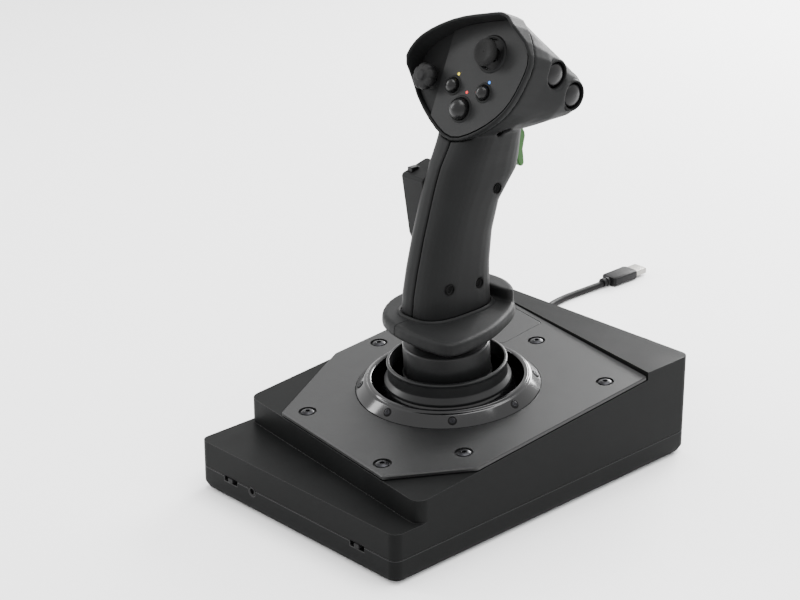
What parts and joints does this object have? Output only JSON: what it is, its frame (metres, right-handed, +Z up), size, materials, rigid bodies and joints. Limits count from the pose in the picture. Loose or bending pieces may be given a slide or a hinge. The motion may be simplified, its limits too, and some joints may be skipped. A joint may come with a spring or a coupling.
{
  "type": "flight joystick",
  "caption": "Black desktop flight joystick: sloped base, telescoping dust cover, pistol grip with thumbstick, hat, buttons and green trigger, corded.",
  "frame": {"origin": "on the table, under the middle of the base housing", "axes": "+X to the user's right, -Y towards the user, +Z up; the resting stick leans 4.4 degrees towards the user"},
  "size_m": [0.2345, 0.4799, 0.2976],
  "materials": {
    "housing": "fine moulded satin, charcoal black",
    "textured": "fine spark texture, charcoal",
    "gloss": "polished black",
    "soft": "matte black",
    "rubber": "soft black rubber",
    "cord": "smooth black cord jacket",
    "steel": "plain turned steel",
    "screw": "black oxide",
    "green": "satin green",
    "board": "green solder mask"
  },
  "bodies": {
    "base": {"bottom_tray": "housing", "top_shell": "housing", "top_plate": "textured", "service_cover": "textured", "bezel_ring": "gloss", "plate_screw_1": "screw", "plate_screw_2": "screw", "plate_screw_3": "screw", "plate_screw_4": "screw", "plate_screw_5": "screw", "plate_screw_6": "screw", "rubber_foot_1": "rubber", "rubber_foot_2": "rubber", "rubber_foot_3": "rubber", "rubber_foot_4": "rubber", "ballast_plate": "steel", "main_board": "board", "gimbal_frame": "soft", "yoke_pin_left": "steel", "yoke_pin_right": "steel", "headset_socket": "soft", "slide_switch_1": "soft", "slide_switch_2": "soft", "cable_gland": "cord", "cord_lead": "cord", "cord_coil": "cord", "cord_tail": "cord", "usb_plug": "cord"},
    "gimbal": {"gimbal_yoke": "soft", "cross_pin": "steel", "spring_seat": "soft", "centring_spring": "steel"},
    "stick": {"stick_shaft": "steel", "spring_cup": "soft", "neck_collar": "housing", "neck_hub": "soft", "hand_rest": "housing", "grip_left": "housing", "grip_right": "housing", "face_frame": "housing", "face_plate": "textured", "hat_panel": "textured", "side_fin": "housing", "trigger_pin": "steel", "grip_board": "board"},
    "washer": {"dust_washer": "housing"},
    "cup": {"dust_cup": "housing"},
    "trigger_lever": {"trigger": "green"},
    "left_ball": {"ball_button_left": "gloss"},
    "right_ball": {"ball_button_right": "gloss"},
    "dome": {"dome_button": "gloss"},
    "pod_front": {"pod_button_1": "gloss"},
    "pod_rear": {"pod_button_2": "gloss"},
    "thumb_key": {"fin_button": "gloss"},
    "thumbstick_ring": {"thumbstick_yoke": "soft"},
    "thumbstick": {"thumbstick_cap": "soft"},
    "hat_ring": {"hat_yoke": "soft"},
    "hat": {"hat_cap": "soft"},
    "knob_left": {"switch_knob_1": "soft"},
    "knob_right": {"switch_knob_2": "soft"}
  },
  "joints": [
    {"name": "stick_pitch", "type": "hinge", "parent": "base", "child": "gimbal", "pos_m": [0, 0.00173, 0.036], "axis": [1, 0, 0], "range_deg": [-15, 15], "stiffness_Nm_per_rad": 4},
    {"name": "stick_roll", "type": "hinge", "parent": "gimbal", "child": "stick", "pos_m": [0, 0.00173, 0.036], "axis": [0, 0.997, 0.0769], "range_deg": [-15, 15], "stiffness_Nm_per_rad": 4, "deforming": ["centring_spring"]},
    {"name": "washer_pitch", "type": "hinge", "parent": "base", "child": "washer", "pos_m": [0, 0.00173, 0.036], "axis": [1, 0, 0], "range_deg": [-7.5, 7.5]},
    {"name": "cup_roll", "type": "hinge", "parent": "washer", "child": "cup", "pos_m": [0, 0.00173, 0.036], "axis": [0, 0.997, 0.0769], "range_deg": [-7.5, 7.5]},
    {"name": "trigger_pull", "type": "hinge", "parent": "stick", "child": "trigger_lever", "pos_m": [0, 0.044, 0.214], "axis": [1, 0, 0], "range_deg": [-10, 0], "stiffness_Nm_per_rad": 0.15},
    {"name": "left_ball_press", "type": "slide", "parent": "stick", "child": "left_ball", "axis": [0, 0.9252, -0.3795], "range_m": [0, 0.0012], "stiffness_N_per_m": 300},
    {"name": "right_ball_press", "type": "slide", "parent": "stick", "child": "right_ball", "axis": [0, 0.9252, -0.3795], "range_m": [0, 0.0012], "stiffness_N_per_m": 300},
    {"name": "dome_press", "type": "slide", "parent": "stick", "child": "dome", "axis": [0, 0.9252, -0.3795], "range_m": [0, 0.0012], "stiffness_N_per_m": 300},
    {"name": "pod_front_press", "type": "slide", "parent": "stick", "child": "pod_front", "axis": [-1, 0, 0], "range_m": [0, 0.0015], "stiffness_N_per_m": 300},
    {"name": "pod_rear_press", "type": "slide", "parent": "stick", "child": "pod_rear", "axis": [-1, 0, 0], "range_m": [0, 0.0015], "stiffness_N_per_m": 300},
    {"name": "thumb_key_press", "type": "slide", "parent": "stick", "child": "thumb_key", "axis": [0, 0, -1], "range_m": [0, 0.001], "stiffness_N_per_m": 300},
    {"name": "thumbstick_pitch", "type": "hinge", "parent": "stick", "child": "thumbstick_ring", "pos_m": [0.013, 0.02307, 0.26918], "axis": [1, 0, 0], "range_deg": [-15, 15], "stiffness_Nm_per_rad": 0.05},
    {"name": "thumbstick_roll", "type": "hinge", "parent": "thumbstick_ring", "child": "thumbstick", "pos_m": [0.013, 0.02307, 0.26918], "axis": [0, 0.3795, 0.9252], "range_deg": [-15, 15], "stiffness_Nm_per_rad": 0.05},
    {"name": "hat_pitch", "type": "hinge", "parent": "stick", "child": "hat_ring", "pos_m": [-0.03, 0.01466, 0.24734], "axis": [1, 0, 0], "range_deg": [-8, 8], "stiffness_Nm_per_rad": 0.06},
    {"name": "hat_roll", "type": "hinge", "parent": "hat_ring", "child": "hat", "pos_m": [-0.03, 0.01466, 0.24734], "axis": [0, 0.3795, 0.9252], "range_deg": [-8, 8], "stiffness_Nm_per_rad": 0.06},
    {"name": "knob_left_slide", "type": "slide", "parent": "base", "child": "knob_left", "axis": [1, 0, 0], "range_m": [-0.0035, 0.0035]},
    {"name": "knob_right_slide", "type": "slide", "parent": "base", "child": "knob_right", "axis": [1, 0, 0], "range_m": [-0.0035, 0.0035]}
  ],
  "couplings": [
    {"joint": "washer_pitch", "follows": "stick_pitch", "ratio": 0.5},
    {"joint": "cup_roll", "follows": "stick_roll", "ratio": 0.5}
  ]
}
